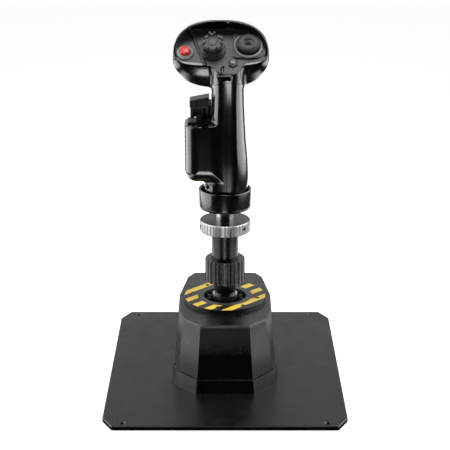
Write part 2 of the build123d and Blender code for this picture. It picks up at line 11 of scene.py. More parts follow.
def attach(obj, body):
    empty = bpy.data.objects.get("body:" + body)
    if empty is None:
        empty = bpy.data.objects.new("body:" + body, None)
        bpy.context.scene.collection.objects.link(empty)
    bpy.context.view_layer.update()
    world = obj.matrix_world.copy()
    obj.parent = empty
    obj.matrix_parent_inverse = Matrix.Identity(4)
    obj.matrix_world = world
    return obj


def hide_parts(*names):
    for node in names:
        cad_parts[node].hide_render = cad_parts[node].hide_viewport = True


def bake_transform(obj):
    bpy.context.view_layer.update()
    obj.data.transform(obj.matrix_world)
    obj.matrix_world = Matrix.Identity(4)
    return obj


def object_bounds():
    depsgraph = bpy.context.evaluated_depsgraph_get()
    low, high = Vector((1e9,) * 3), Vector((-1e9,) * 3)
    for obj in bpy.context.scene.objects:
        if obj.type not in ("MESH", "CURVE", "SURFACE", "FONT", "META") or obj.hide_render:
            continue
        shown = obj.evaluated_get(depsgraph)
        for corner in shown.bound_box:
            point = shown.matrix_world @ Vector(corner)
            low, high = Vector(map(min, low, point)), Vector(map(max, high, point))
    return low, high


# A desk-mounted flight joystick. The mechanical pieces are the CAD nodes with procedural finishes;
# the grip, its head and the controls are modelled here. Lengths are in millimetres until a mesh is
# written, which is in metres.

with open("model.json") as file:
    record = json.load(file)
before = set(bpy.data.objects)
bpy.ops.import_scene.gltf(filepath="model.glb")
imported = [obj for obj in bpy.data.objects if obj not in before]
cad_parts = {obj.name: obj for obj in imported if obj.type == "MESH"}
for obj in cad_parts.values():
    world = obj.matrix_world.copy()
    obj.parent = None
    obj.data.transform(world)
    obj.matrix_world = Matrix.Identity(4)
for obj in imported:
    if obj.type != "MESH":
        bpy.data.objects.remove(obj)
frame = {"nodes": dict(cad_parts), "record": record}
cad_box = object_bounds()
nodes = frame["nodes"]
MM = 0.001


# ==== mesh helpers ===========================================================================
def add_object(name, verts, faces, smooth_angle=30):
    """A mesh object from vertices in millimetres."""
    mesh = bpy.data.meshes.new(name)
    mesh.from_pydata([tuple(v) for v in np.asarray(verts, float) * MM], [], [tuple(f) for f in faces])
    mesh.validate()
    mesh.update()
    obj = bpy.data.objects.new(name, mesh)
    bpy.context.scene.collection.objects.link(obj)
    shade(obj, smooth_angle)
    return obj


def shade(obj, angle):
    """Smooth shading, with creases sharper than the angle kept."""
    mesh = obj.data
    mesh.polygons.foreach_set("use_smooth", [True] * len(mesh.polygons))
    mesh.set_sharp_from_angle(angle=radians(angle))


def bake(obj, angle=30):
    """Replaces an object's mesh by the result of its modifiers."""
    graph = bpy.context.evaluated_depsgraph_get()
    mesh = bpy.data.meshes.new_from_object(obj.evaluated_get(graph))
    obj.modifiers.clear()
    obj.data = mesh
    shade(obj, angle)
    return obj


def finish_piece(obj, body, material, replaces=()):
    """Gives a piece its material, its body and the CAD nodes that it stands for."""
    obj.data.materials.clear()
    obj.data.materials.append(material)
    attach(obj, body)
    if replaces:
        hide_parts(*replaces)
    return obj


CORNER_STEPS = 5


def round_profile(points, radii):
    """A polyline (r, z) with its corners rounded; radii has one radius per point."""
    result = []
    count = len(points)
    for i, (point, radius) in enumerate(zip(points, radii)):
        p = np.array(point, float)
        if radius <= 0 or i in (0, count - 1):
            result.append(p)
            continue
        a = np.array(points[i - 1], float) - p
        b = np.array(points[i + 1], float) - p
        la, lb = np.linalg.norm(a), np.linalg.norm(b)
        a, b = a / la, b / lb
        angle = np.arccos(np.clip(a @ b, -1, 1))
        cut = min(radius / np.tan(angle / 2), 0.49 * la, 0.49 * lb)
        start, end = p + a * cut, p + b * cut
        for k in range(CORNER_STEPS + 1):
            t = k / CORNER_STEPS
            result.append((1 - t) ** 2 * start + 2 * t * (1 - t) * p + t * t * end)
    return result


def lathe(name, profile, segments=128, matrix=None, ripple=None):
    """Turns an open profile of (r, z) round the Z axis. ripple(theta, r) may change the radius."""
    theta = np.arange(segments) / segments * tau
    verts = []
    for r, z in profile:
        radius = np.full(segments, float(r))
        if ripple is not None:
            radius = ripple(theta, radius)
        verts.append(np.stack([radius * np.cos(theta), radius * np.sin(theta), np.full(segments, z)], 1))
    rows = len(profile)
    verts = np.concatenate(verts)
    faces = []
    for i in range(rows - 1):
        for j in range(segments):
            k = (j + 1) % segments
            low, high = i * segments, (i + 1) * segments
            faces.append((low + j, low + k, high + k, high + j))
    if matrix is not None:
        verts = verts @ np.array(matrix.to_3x3()).T + np.array(matrix.translation)
    obj = add_object(name, verts, faces)
    weld(obj)
    return obj


def weld(obj):
    """Joins vertices that coincide, such as those of a pole, and turns the faces outwards."""
    bm = bmesh.new()
    bm.from_mesh(obj.data)
    bmesh.ops.remove_doubles(bm, verts=bm.verts, dist=1e-6)
    bmesh.ops.recalc_face_normals(bm, faces=bm.faces)
    bm.to_mesh(obj.data)
    bm.free()
    shade(obj, 30)


# ==== implicit shapes ========================================================================
def smin(a, b, k):
    """The union of two fields with a fillet of about k."""
    h = np.clip(0.5 + 0.5 * (b - a) / k, 0, 1)
    return b * (1 - h) + a * h - k * h * (1 - h)


def smax(a, b, k):
    """The overlap of two fields with a rounding of about k."""
    return -smin(-a, -b, k)


def hermite(x, xs, values):
    """A smooth curve through the given points, held constant beyond its ends."""
    xs = np.asarray(xs, float)
    values = np.asarray(values, float)
    slopes = np.gradient(values, xs)
    x = np.clip(x, xs[0], xs[-1])
    i = np.clip(np.searchsorted(xs, x) - 1, 0, len(xs) - 2)
    span = xs[i + 1] - xs[i]
    t = (x - xs[i]) / span
    a = (2 * t**3 - 3 * t**2 + 1) * values[i] + (t**3 - 2 * t**2 + t) * span * slopes[i]
    return a + (-2 * t**3 + 3 * t**2) * values[i + 1] + (t**3 - t**2) * span * slopes[i + 1]


def surface_net(field, low, high, step):
    """Vertices and quads of the zero surface of a field that is negative inside."""
    axes = [np.arange(lo, hi + step, step) for lo, hi in zip(low, high)]
    grid = np.meshgrid(*axes, indexing="ij")
    value = field(*grid)
    shape = tuple(n - 1 for n in value.shape)
    inside = value < 0

    def corner(array, i, j, k):
        return array[i:i + shape[0], j:j + shape[1], k:k + shape[2]]

    count = sum(corner(inside, *c).astype(np.int8) for c in product((0, 1), repeat=3))
    active = (count > 0) & (count < 8)
    index = np.full(shape, -1)
    index[active] = np.arange(active.sum())
    cells = np.argwhere(active)
    total = np.zeros((len(cells), 3))
    hits = np.zeros(len(cells))
    for axis in range(3):
        others = [a for a in range(3) if a != axis]
        for offset in product((0, 1), repeat=2):
            start = np.zeros(3, int)
            start[others[0]], start[others[1]] = offset
            end = start.copy()
            end[axis] = 1
            a = value[tuple((cells + start).T)]
            b = value[tuple((cells + end).T)]
            crossing = (a < 0) != (b < 0)
            t = np.where(crossing, a / np.where(crossing, a - b, 1), 0)
            point = cells + start + t[:, None] * (end - start)
            total += point * crossing[:, None]
            hits += crossing
    verts = total / hits[:, None] * step + np.array([a[0] for a in axes])
    quads = []
    for axis in range(3):
        u, v = [(1, 2), (2, 0), (0, 1)][axis]
        lower = [slice(1, n - 1) for n in value.shape]
        lower[axis] = slice(0, value.shape[axis] - 1)
        upper = list(lower)
        upper[axis] = slice(1, value.shape[axis])
        a, b = inside[tuple(lower)], inside[tuple(upper)]
        edges = np.argwhere(a != b)
        base = edges.copy()
        base[:, u] += 1
        base[:, v] += 1
        flip = a[tuple(edges.T)]
        ring = []
        for du, dv in ((-1, -1), (0, -1), (0, 0), (-1, 0)):
            cell = base.copy()
            cell[:, u] += du
            cell[:, v] += dv
            ring.append(index[tuple(cell.T)])
        ring = np.stack(ring, 1)
        ring[~flip] = ring[~flip][:, ::-1]
        quads.append(ring)
    return verts, np.concatenate(quads)


def gradient(field, points):
    """The slope of a field by central differences."""
    h = 0.02
    g = np.zeros_like(points)
    for axis in range(3):
        step = np.zeros(3)
        step[axis] = h
        plus = field(*(points + step).T)
        minus = field(*(points - step).T)
        g[:, axis] = (plus - minus) / (2 * h)
    return g


def settle(field, verts, quads, rounds=8, relax=5):
    """Evens the vertices out and moves them onto the zero surface of the field."""
    links = np.concatenate([quads[:, [0, 1]], quads[:, [1, 2]], quads[:, [2, 3]], quads[:, [3, 0]]])
    degree = np.bincount(links.ravel(), minlength=len(verts)).astype(float)
    for turn in range(rounds):
        if turn < relax:
            total = np.stack(
                [
                    np.bincount(links[:, 0], verts[links[:, 1], a], len(verts))
                    + np.bincount(links[:, 1], verts[links[:, 0], a], len(verts))
                    for a in range(3)
                ],
                1,
            )
            verts = 0.5 * verts + 0.5 * total / degree[:, None]
        g = gradient(field, verts)
        size = np.maximum((g * g).sum(1), 1e-4)
        move = -(field(*verts.T) / size)[:, None] * g
        length = np.linalg.norm(move, axis=1, keepdims=True)
        verts = verts + move * np.minimum(1, 0.8 / np.maximum(length, 1e-9))
    return verts


def clip(verts, faces, value):
    """Keeps the part of a triangle mesh where value (one per vertex) is positive."""
    verts = [tuple(v) for v in verts]
    value = list(value)
    cuts = {}

    def cut(a, b):
        key = (a, b) if a < b else (b, a)
        if key not in cuts:
            i, j = key
            t = value[i] / (value[i] - value[j])
            verts.append(tuple(p + t * (q - p) for p, q in zip(verts[i], verts[j])))
            value.append(0.0)
            cuts[key] = len(verts) - 1
        return cuts[key]

    kept = []
    for face in faces:
        signs = [value[i] > 0 for i in face]
        if all(signs):
            kept.append(tuple(face))
            continue
        if not any(signs):
            continue
        loop = []
        for n, a in enumerate(face):
            b = face[(n + 1) % len(face)]
            if value[a] > 0:
                loop.append(a)
            if (value[a] > 0) != (value[b] > 0):
                loop.append(cut(a, b))
        if len(loop) >= 3:
            kept.append(tuple(loop))
    used = sorted({i for face in kept for i in face})
    number = {old: new for new, old in enumerate(used)}
    return np.array([verts[i] for i in used]), [tuple(number[i] for i in face) for face in kept]


# ==== the grip's outside =====================================================================
HANDLE = np.array([
    # height, centre x, half width, centre y, half depth
    (225, 0.2, 27.8, 0.0, 28.2),
    (247, 0.8, 28.2, -0.3, 28.9),
    (259, 1.5, 28.5, -0.6, 29.2),
    (286, 2.3, 26.9, -1.3, 29.7),
    (315, 3.0, 23.7, -2.6, 28.6),
    (341, 3.3, 21.8, -4.3, 26.7),
    (371, 3.4, 20.4, -7.5, 25.9),
    (390, 3.4, 20.4, -9.7, 26.9),
    (412, 3.0, 21.5, -13.4, 28.6),
], float)
HANDLE_POWER = 2.15
HANDLE_BOTTOM = 227.0
HANDLE_TOP = 424.0
NECK_FLAT = 1.7
NECK_TURN = 5.0
POD_LEFT = -51.0
POD_FRONT = -31.2
POD_REAR = 20.0
POD_BEVEL = 7.0
POD_BOTTOM = 261.5
POD_TOP = 335.5
HEAD_AT = (-5.2, -2.0, 423.0)
HEAD_X = 59.8
HEAD_Z = 41.5
HEAD_FRONT = 27.0
HEAD_REAR = 30.0
HOOD_WALL = 3.0
BOWL_REAR = 19.0
PANEL_TILT = 48.0
PANEL_AT = (0.0, -30.0, 412.0)
RIM_TILT = 24.0
RIM_AT = (-20.0, 420.0)
PANEL_SPLIT = 9.1
GRIP_SCREWS = ((-17.0, 255.5), (11.5, 277.0), (8.0, 398.0))


def handle_field(x, y, z):
    """The handle: squarish sections along a bent line, with a flat across the front of the neck."""
    heights = HANDLE[:, 0]
    cx, hx, cy, hy = (hermite(z, heights, HANDLE[:, i]) for i in (1, 2, 3, 4))
    power = HANDLE_POWER
    shape = (np.abs((x - cx) / hx) ** power + np.abs((y - cy) / hy) ** power) ** (1 / power) - 1
    body = shape * np.minimum(hx, hy)
    turn = radians(NECK_TURN)
    flat = -(y - (cy - hy + NECK_FLAT)) * cos(turn) - (x - cx + 1.4) * sin(turn)
    body = smax(body, flat, 3.0)
    return smax(smax(body, HANDLE_BOTTOM - z, 2.0), z - HANDLE_TOP, 2.0)


def pod_field(x, y, z):
    """A block with a large lower left corner, round upright edges and a crisp ledge on top."""
    corner, edge = 15.0, 5.0
    px = POD_LEFT + corner - x
    pz = POD_BOTTOM + corner + 0.03 * (-x - 20) - z
    outline = np.hypot(np.maximum(px, 0), np.maximum(pz, 0)) - corner
    outline = np.where((px < 0) & (pz < 0), np.maximum(px, pz) - corner, outline)
    outline = np.maximum(outline, x)
    depth = np.abs(y - (POD_FRONT + POD_REAR) / 2) - (POD_REAR - POD_FRONT) / 2
    a = np.maximum(outline + edge, 0)
    b = np.maximum(depth + edge, 0)
    body = np.hypot(a, b) + np.minimum(np.maximum(outline + edge, depth + edge), 0) - edge
    bevel = 0.72 * outline + 0.69 * (POD_FRONT - y) + POD_BEVEL
    body = smax(body, bevel, 7.0)
    guard = box_field(x, y, z, (-25.0, 17.0, 346.0), (7.5, 2.2, 15.0), 1.0)
    top = z - (POD_TOP + 0.06 * (x - POD_LEFT))
    return smin(smax(body, top, 2.0), guard, 1.5)


def head_field(x, y, z, shrink=0.0, rear=HEAD_REAR):
    """The head's rounded block. The plan is squarer than the sections."""
    flat, curve = 4.0, 2.3
    dx = np.abs(x - HEAD_AT[0]) / (HEAD_X - shrink)
    dy = y - HEAD_AT[1]
    dy = np.where(dy < 0, -dy / (HEAD_FRONT - shrink), dy / rear)
    dz = np.abs(z - HEAD_AT[2]) / (HEAD_Z - shrink)
    plan = (dx**flat + dy**flat) ** (1 / flat)
    return ((plan**curve + dz**curve) ** (1 / curve) - 1) * 30


def panel_height(y, z):
    """How far a point lies above the panel."""
    c, s = cos(radians(PANEL_TILT)), sin(radians(PANEL_TILT))
    return -c * (y - PANEL_AT[1]) + s * (z - PANEL_AT[2])


def rim_height(y, z):
    """How far a point lies above the plane of the rim."""
    c, s = cos(radians(RIM_TILT)), sin(radians(RIM_TILT))
    return -c * (y - RIM_AT[0]) + s * (z - RIM_AT[1])


def bowl_field(x, y, z):
    """Negative inside the hollow behind the rim."""
    return head_field(x, y, z, HOOD_WALL, rear=BOWL_REAR)


def panel_point(x, y, z):
    """Across and up on the panel."""
    c, s = cos(radians(PANEL_TILT)), sin(radians(PANEL_TILT))
    return x, s * (y - PANEL_AT[1]) + c * (z - PANEL_AT[2])


def box_field(x, y, z, at, half, round_by):
    """Distance to a box with rounded edges, negative inside."""
    q = [np.abs(p - c) - h + round_by for p, c, h in zip((x, y, z), at, half)]
    outside = np.sqrt(sum(np.maximum(v, 0) ** 2 for v in q))
    return outside + np.minimum(np.maximum(np.maximum(q[0], q[1]), q[2]), 0) - round_by


def grip_field(x, y, z):
    """The whole grip: handle, head and pod joined, with the hollow, pocket and recesses cut."""
    outer = smin(handle_field(x, y, z), head_field(x, y, z), 5.0)
    outer = smin(outer, pod_field(x, y, z), 5.0)
    ridge = 0.8 * np.exp(-(((cap_plane(x, z) + 1.5) / 1.6) ** 4))
    h = panel_height(y, z) - ridge
    wall = smax(rim_height(y, z), -bowl_field(x, y, z) - ridge, 0.9)
    body = smax(outer, smin(h, wall, 1.0), 1.0)
    across, up = panel_point(x, y, z)
    key_slot = box_field(across - 0.16 * up, up, h, (-2.6, -3.6, 0), (1.5, 5.2, 2.6), 1.2)
    pocket = box_field(x, y, z, (-1.2, -38.5, 399.8), (8.8, 4.6, 2.7), 1.2)
    body = smax(body, -smin(key_slot, pocket, 0.4), 0.6)
    for at_y, at_z in GRIP_SCREWS:
        recess = np.maximum(np.hypot(y - at_y, z - at_z) - 3.4, x + 14)
        body = smax(body, -recess, 0.5)
    return body


def seam_field(x, y, z):
    """Positive on the head housing, negative on the two grip shells."""
    slope = np.where(x < 1, 0.0010, 0.0016)
    lobes = z - (415.5 + slope * (x - 1) ** 2)
    rise = np.clip((z - 404) / 13, 0, 1) ** 3
    left = x + 14 + 11 * rise
    right = 19 + 3 * np.clip((400 - z) / 12, 0, 1) + 9 * rise - x
    arch = z - (393.5 - 0.0146 * (x - 5) ** 2)
    tongue = np.minimum(np.minimum(left, right), np.minimum(arch, -8 - y))
    return np.maximum(lobes, tongue)


def cap_plane(x, z):
    """Positive to the left of the end cap's seam."""
    return -0.886 * (x + 27) - 0.465 * (z - 416)


def cap_field(x, z):
    """Positive on the left end cap of the head."""
    return np.minimum(cap_plane(x, z), z - 411)


SPLIT_X = 2.0
GAP = 0.3
GRIP_STEP = 1.1
HEAD_STEP = 0.8


def shell_piece(name, verts, faces, thickness, sink):
    """A clipped surface made into a shell that goes inward from it."""
    obj = add_object(name, verts, faces)
    if sink:
        normals = np.array([v.normal for v in obj.data.vertices])
        co = np.array([v.co for v in obj.data.vertices]) - normals * sink * MM
        obj.data.vertices.foreach_set("co", co.astype(np.float32).ravel())
    solid = obj.modifiers.new("thickness", "SOLIDIFY")
    solid.thickness = thickness * MM
    solid.offset = -1
    solid.use_even_offset = False
    return bake(obj, 35)


def triangles(quads):
    return [tuple(t) for q in quads for t in ((q[0], q[1], q[2]), (q[0], q[2], q[3]))]


def cut_by(verts, faces, *fields):
    """Keeps the part of a mesh where every field is positive."""
    for field in fields:
        verts, faces = clip(verts, faces, field(*np.asarray(verts).T))
    return verts, faces


def slot_field(x, y, z):
    """Negative in the two slots that the trigger and the paddle come out of."""
    width = np.abs(x - 3.5) - 5.4
    trigger = np.maximum(np.maximum(width, np.abs(z - 357.5) - 23.5), 5 - y)
    paddle = np.maximum(np.maximum(width, np.abs(z - 279.0) - 19.0), 5 - y)
    return np.minimum(trigger, paddle)


def net_triangles(field, low, high, step):
    """A settled triangle mesh of a field's zero surface."""
    verts, quads = surface_net(field, low, high, step)
    return settle(field, verts, quads), triangles(quads)


def panel_edge(x):
    """How far up the slope the flat panel reaches down the neck, seen from the middle out."""
    left = np.interp(x, (-26.8, -24.4, -15.9, -11.0, -9.8), (6.4, 5.0, 2.0, -6.0, -14.0))
    right = np.interp(x, (14.6, 15.9, 20.7, 26.8, 45.0), (-14.0, -6.0, 1.0, 4.0, 8.0))
    return np.where(x < 2, left, right)


def panel_zone(x, y, z):
    """Positive on the flat panel under the hood."""
    across, up = panel_point(x, y, z)
    h = panel_height(y, z)
    floor = np.minimum(h + 0.55, 1.1 - h)
    area = np.maximum(0.3 - bowl_field(x, y, z), -18 - y)
    return np.minimum(np.minimum(floor, area), up - panel_edge(across))


def button_holes(x, y, z):
    """Positive outside the round holes that the two push buttons travel in."""
    across, up = panel_point(x, y, z)
    red = np.hypot(across - RED_AT[0], up - RED_AT[1]) - RED_HOLE
    event = np.hypot(across - EVENT_AT[0], up - EVENT_AT[1]) - EVENT_HOLE
    return np.minimum(red, event)


def build_grip(materials):
    handle = net_triangles(grip_field, (-70, -48, 224), (60, 34, 427), GRIP_STEP)
    head = net_triangles(grip_field, (-68, -48, 384), (58, 34, 468), HEAD_STEP)
    housing = cut_by(*head, lambda x, y, z: seam_field(x, y, z) - GAP, lambda x, y, z: z - 385)
    shells = cut_by(
        *handle,
        lambda x, y, z: -seam_field(x, y, z) - GAP,
        lambda x, y, z: slot_field(x, y, z),
        lambda x, y, z: 425 - z,
    )
    cap = cut_by(*housing, lambda x, y, z: cap_field(x, z) - GAP)
    cap_floor = cut_by(*cap, lambda x, y, z: panel_zone(x, y, z) - 0.08, button_holes)
    cap = cut_by(*cap, lambda x, y, z: -panel_zone(x, y, z) - 0.08)
    main = cut_by(*housing, lambda x, y, z: -cap_field(x, z) - GAP)
    hood = cut_by(*main, lambda x, y, z: -panel_zone(x, y, z) - 0.08)
    panel = cut_by(*main, lambda x, y, z: panel_zone(x, y, z) - 0.08, button_holes)
    plate = cut_by(*panel, lambda x, y, z: PANEL_SPLIT - GAP / 2 - x)
    side_plate = cut_by(*panel, lambda x, y, z: x - PANEL_SPLIT - GAP / 2)
    left = cut_by(*shells, lambda x, y, z: SPLIT_X - GAP / 2 - x)
    right = cut_by(*shells, lambda x, y, z: x - SPLIT_X - GAP / 2)
    pieces = {
        "grip_left": (left, 2.2, 0.0, "grip", "grip_left_shell"),
        "grip_right": (right, 2.2, 0.0, "grip", "grip_right_shell"),
        "head_cap": (cap, 1.2, 0.6, "grip", "head_end_cap"),
        "head_cap_floor": (cap_floor, 2.0, 0.6, "panel", None),
        "head_hood": (hood, 1.2, 0.0, "grip", "head_housing"),
        "head_panel": (plate, 2.0, 0.25, "panel", None),
        "head_side_panel": (side_plate, 2.0, 0.0, "panel", None),
    }
    for name, (part, thickness, sink, finish, replaced) in pieces.items():
        obj = shell_piece(name, *part, thickness, sink)
        finish_piece(obj, "stick", materials[finish], (replaced,) if replaced else ())


# ==== controls ===============================================================================
TRIM_AT = (28.6, 30.0)
CASTLE_AT = (-15.1, 25.4)
RED_AT = (-49.0, 21.6)
EVENT_AT = (9.8, 5.7)
RED_HOLE = 6.7
EVENT_HOLE = 3.7


def panel_matrix(across, up):
    """Stands a control on the panel, with its axis square to it."""
    c, s = cos(radians(PANEL_TILT)), sin(radians(PANEL_TILT))
    made = Matrix(((1, 0, 0), (0, s, -c), (0, c, s))).to_4x4()
    made.translation = Vector(PANEL_AT) + Vector((across, up * s, up * c))
    return made


def soft_piece(name, field, low, high, step, matrix=None):
    """A closed moulded shape from a field, optionally placed by a matrix."""
    verts, quads = surface_net(field, low, high, step)
    verts = settle(field, verts, quads, rounds=6, relax=3)
    if matrix is not None:
        verts = verts @ np.array(matrix.to_3x3()).T + np.array(matrix.translation)
    return add_object(name, verts, quads, 40)


def polygon_field(u, v, points):
    """Distance to a closed outline, negative inside."""
    points = np.asarray(points, float)
    best = np.full(np.shape(u), 1e9)
    inside = np.zeros(np.shape(u), bool)
    for (ax, ay), (bx, by) in zip(points, np.roll(points, -1, axis=0)):
        ex, ey = bx - ax, by - ay
        t = np.clip(((u - ax) * ex + (v - ay) * ey) / (ex * ex + ey * ey), 0, 1)
        best = np.minimum(best, (u - ax - t * ex) ** 2 + (v - ay - t * ey) ** 2)
        if ay != by:
            crosses = ((ay > v) != (by > v)) & (u < ax + (v - ay) / (by - ay) * ex)
            inside ^= crosses
    return np.sqrt(best) * np.where(inside, -1, 1)


def smooth_loop(points):
    """A closed curve through the given corners."""
    steps = 6
    p = np.asarray(points, float)
    loop = []
    for i in range(len(p)):
        a, b, c, d = p[i - 1], p[i], p[(i + 1) % len(p)], p[(i + 2) % len(p)]
        for k in range(steps):
            t = k / steps
            square, cube = (2 * a - 5 * b + 4 * c - d) * t**2, (3 * b - a - 3 * c + d) * t**3
            loop.append(0.5 * (2 * b + (c - a) * t + square + cube))
    return np.array(loop)


def castle_field(u, v, w):
    """A crown: a dished cap with eight teeth, two tall prongs and a tapered stem."""
    r = np.hypot(u, v)
    theta = np.arctan2(v, u)
    cap = smax(r - 10.4, np.abs(w - 14.8) - 2.6, 0.8)
    teeth = smax(np.abs(r - 10.3) - 2.0, np.abs(w - 15.9) - 2.9, 0.6)
    teeth = smax(teeth, (-np.cos(8 * theta) - 0.25) * 1.5, 0.6)
    button = smax(r - 5.4, np.abs(w - 16.8) - 1.4, 0.6)
    shape = smin(smin(cap, teeth, 0.5), button, 0.8)
    tall = box_field(u, v, w, (-0.8, 10.4, 19.0), (3.9, 1.7, 4.0), 0.7)
    tall = smax(tall, -box_field(u, v, w, (-0.8, 10.4, 22.5), (1.9, 3.0, 3.2), 0.5), 0.4)
    side = box_field(u * 0.94 + v * 0.34, v * 0.94 - u * 0.34, w, (11.6, 0, 18.2), (1.3, 3.0, 3.6), 0.7)
    shape = smin(shape, smin(tall, side, 0.4), 0.6)
    stem = smax(r - 4.2 - 4.0 * np.clip((w - 8.5) / 4, 0, 1), np.abs(w - 8.0) - 5.0, 0.5)
    return smin(shape, stem, 0.8)


def switch_field(x, y, z):
    """The thumb switch: a ribbed head with a sloping top on two legs and a recessed web."""
    top = z - 365.5 - 0.19 * (x + 44.5)
    head = smax(box_field(x, y, z, (-32.2, 0, 364), (12.2, 12.4, 7.6), 1.6), top, 1.2)
    for at in (-40.6, -37.4, -34.2):
        groove = box_field(x, y, z, (at, -12.4, 362), (0.75, 1.4, 9.0), 0.3)
        head = smax(head, -groove, 0.4)
    left = box_field(x, y, z, (-41.2, 0, 351), (2.3, 11.2, 8.6), 1.0)
    web = box_field(x, y, z, (-33.0, 0, 352), (6.4, 8.4, 8.0), 1.0)
    lean = 2.7 - 0.12 * (358 - z)
    right = box_field((x + 22.2) * 2.4 / np.maximum(lean, 0.8), y, z, (0, 0, 351), (2.4, 11.0, 8.6), 0.8)
    rib = box_field(x, y, z, (-27.3, -4, 352), (0.7, 6.8, 7.6), 0.4)
    legs = smin(smin(left, right, 0.4), smin(web, rib, 0.4), 0.4)
    return smin(head, legs, 0.8)


LEVER_X = (-1.4, 8.4)
TRIGGER_LINE = [
    (3, 369), (3.6, 376), (12, 378.4), (21, 376.4), (30, 369), (30.5, 362), (28, 353), (29.6, 345),
    (35.6, 335.2), (33.4, 333.2), (27, 339), (23.6, 347), (22.8, 357), (20, 362), (12, 365.4),
]
PADDLE_LINE = [
    (15, 288), (15, 296), (25, 296.6), (34, 293), (38.6, 286), (40.2, 270), (40.4, 254), (37.4, 253),
    (36.4, 268), (34.4, 280), (28, 286.6),
]


def bar_field(outline, x0, x1, round_by):
    """A lever: an outline seen from the side, as wide as x0 to x1."""
    loop = smooth_loop(outline)
    middle, half = (x0 + x1) / 2, (x1 - x0) / 2

    def field(x, y, z):
        return smax(polygon_field(y, z, loop), np.abs(x - middle) - half, round_by)

    return field


def paddle_field(x, y, z):
    lever = bar_field(PADDLE_LINE, *LEVER_X, 1.2)(x, y, z)
    pad = box_field(x, y, z, (3.5, 38.6, 266), (11.2, 1.9, 14.0), 1.6)
    return smin(lever, pad, 1.5)


def hexagon(theta, r):
    """Six flats on the outside of a nut. The bore stays round."""
    corner = cos(pi / 6) / np.cos((theta + pi / 6) % (pi / 3) - pi / 6)
    return np.where(r > 4.6, r * corner, r)


def build_controls(materials):
    trim, castle = panel_matrix(*TRIM_AT), panel_matrix(*CASTLE_AT)
    red, event = panel_matrix(*RED_AT), panel_matrix(*EVENT_AT)

    rings = [(16, -0.2), (16, 2), (15.4, 2.5), (14.5, 2.5), (14.4, 4.1), (13.8, 4.5), (13, 4.5)]
    rings += [(12.8, 6), (12.2, 6.5), (7.4, 6.4), (6.7, 5.8), (6.6, -0.2)]
    obj = lathe("castle_base", rings, matrix=castle)
    finish_piece(obj, "stick", materials["hat_black"], ("castle_ring",))
    obj = soft_piece("castle_crown", castle_field, (-14, -14, 2), (14, 14, 24), 0.45, castle)
    finish_piece(obj, "castle_hat", materials["crown_grey"], ("castle_hat",))

    lip = [(17.7, 2.2), (17.7, 4.2), (17.3, 5.0), (16.6, 5.3)]
    lip += [(16.0, 5.0), (15.4, 3.6), (14.7, 2.8), (14.6, 2.2)]
    obj = lathe("trim_lip", lip, matrix=trim)
    finish_piece(obj, "stick", materials["lip_grey"], ())
    cap = [(0, 12.3), (1.5, 12.5), (2.4, 12.9), (3.4, 12.6), (4.6, 11.5), (5.4, 11.2), (8.8, 11.2)]
    cap += [(9.3, 11.6), (10.5, 11.6), (11.0, 11.2), (12.5, 11.0), (13.6, 10.3), (14, 9.2), (13.9, 8.2)]
    cap += [(13.3, 7.6), (9, 7.4), (5, 5.2), (4.4, 5.0), (2.4, 4.6), (2.4, 1.0)]
    obj = lathe("trim_cap", cap, matrix=trim)
    finish_piece(obj, "trim_hat", materials["hat_black"], ("trim_hat",))

    bezel = [(10, -0.2), (10, 1.6), (9.6, 2.1), (8.7, 2.1), (8.5, 3.2)]
    bezel += [(8.0, 3.7), (7.2, 3.6), (6.7, 2.9), (6.6, -0.2)]
    obj = lathe("red_rings", bezel, matrix=red)
    finish_piece(obj, "stick", materials["lip_grey"], ("red_bezel",))
    button = [(0, 7.5), (4.6, 7.4), (5.6, 7.0), (6.1, 6.2), (6.2, 5.2), (6.2, 1.2)]
    obj = lathe("red_cap", button, matrix=red)
    finish_piece(obj, "red_button", materials["red_plastic"], ("red_button",))

    collar = [(6.4, -0.2), (6.4, 1.8), (5.8, 2.5), (4.4, 2.6), (3.8, 2.1), (3.6, 1.2), (3.6, -0.2)]
    obj = lathe("event_nut", collar, matrix=event, ripple=hexagon)
    finish_piece(obj, "stick", materials["panel"], ("event_collar",))
    button = [(0, 3.7), (1.4, 3.8), (2.4, 4.2), (2.9, 4.0), (3.2, 3.4), (3.2, 1.0)]
    obj = lathe("event_cap", button, matrix=event)
    finish_piece(obj, "event_button", materials["lip_grey"], ("event_button",))

    obj = soft_piece("thumb_switch", switch_field, (-46, -14, 341), (-18, 14, 373), 0.55)
    finish_piece(obj, "side_switch", materials["hat_black"], ("side_switch",))
    blade = bar_field(TRIGGER_LINE, *LEVER_X, 1.6)
    obj = soft_piece("trigger_blade", blade, (-3, 1, 331), (10, 38, 380), 0.6)
    finish_piece(obj, "trigger_lever", materials["hat_black"], ("trigger",))
    obj = soft_piece("paddle_blade", paddle_field, (-9.5, 13, 249.5), (16.5, 43, 298.5), 0.65)
    finish_piece(obj, "paddle_lever", materials["hat_black"], ("paddle",))


def build_collar(materials):
    """The cup that the grip stands in."""
    outside = [(12.4, 222), (27.5, 222), (31.8, 222.8), (34.0, 226.2), (34.0, 248.0), (33.2, 249)]
    outside += [(32.0, 248.6), (31.2, 246.4), (30.6, 244.0), (30.4, 226), (12.4, 226), (12.4, 222)]
    radii = [0, 0, 3, 3, 1.0, 0.6, 0.6, 0.8, 0.4, 1.0, 0, 0]
    obj = lathe("collar_cup", round_profile(outside, radii), 160)
    finish_piece(obj, "stick", materials["grip"], ("grip_collar",))


SPRING_R = 4.3
WIRE_R = 0.6
SPRING_Z = 52


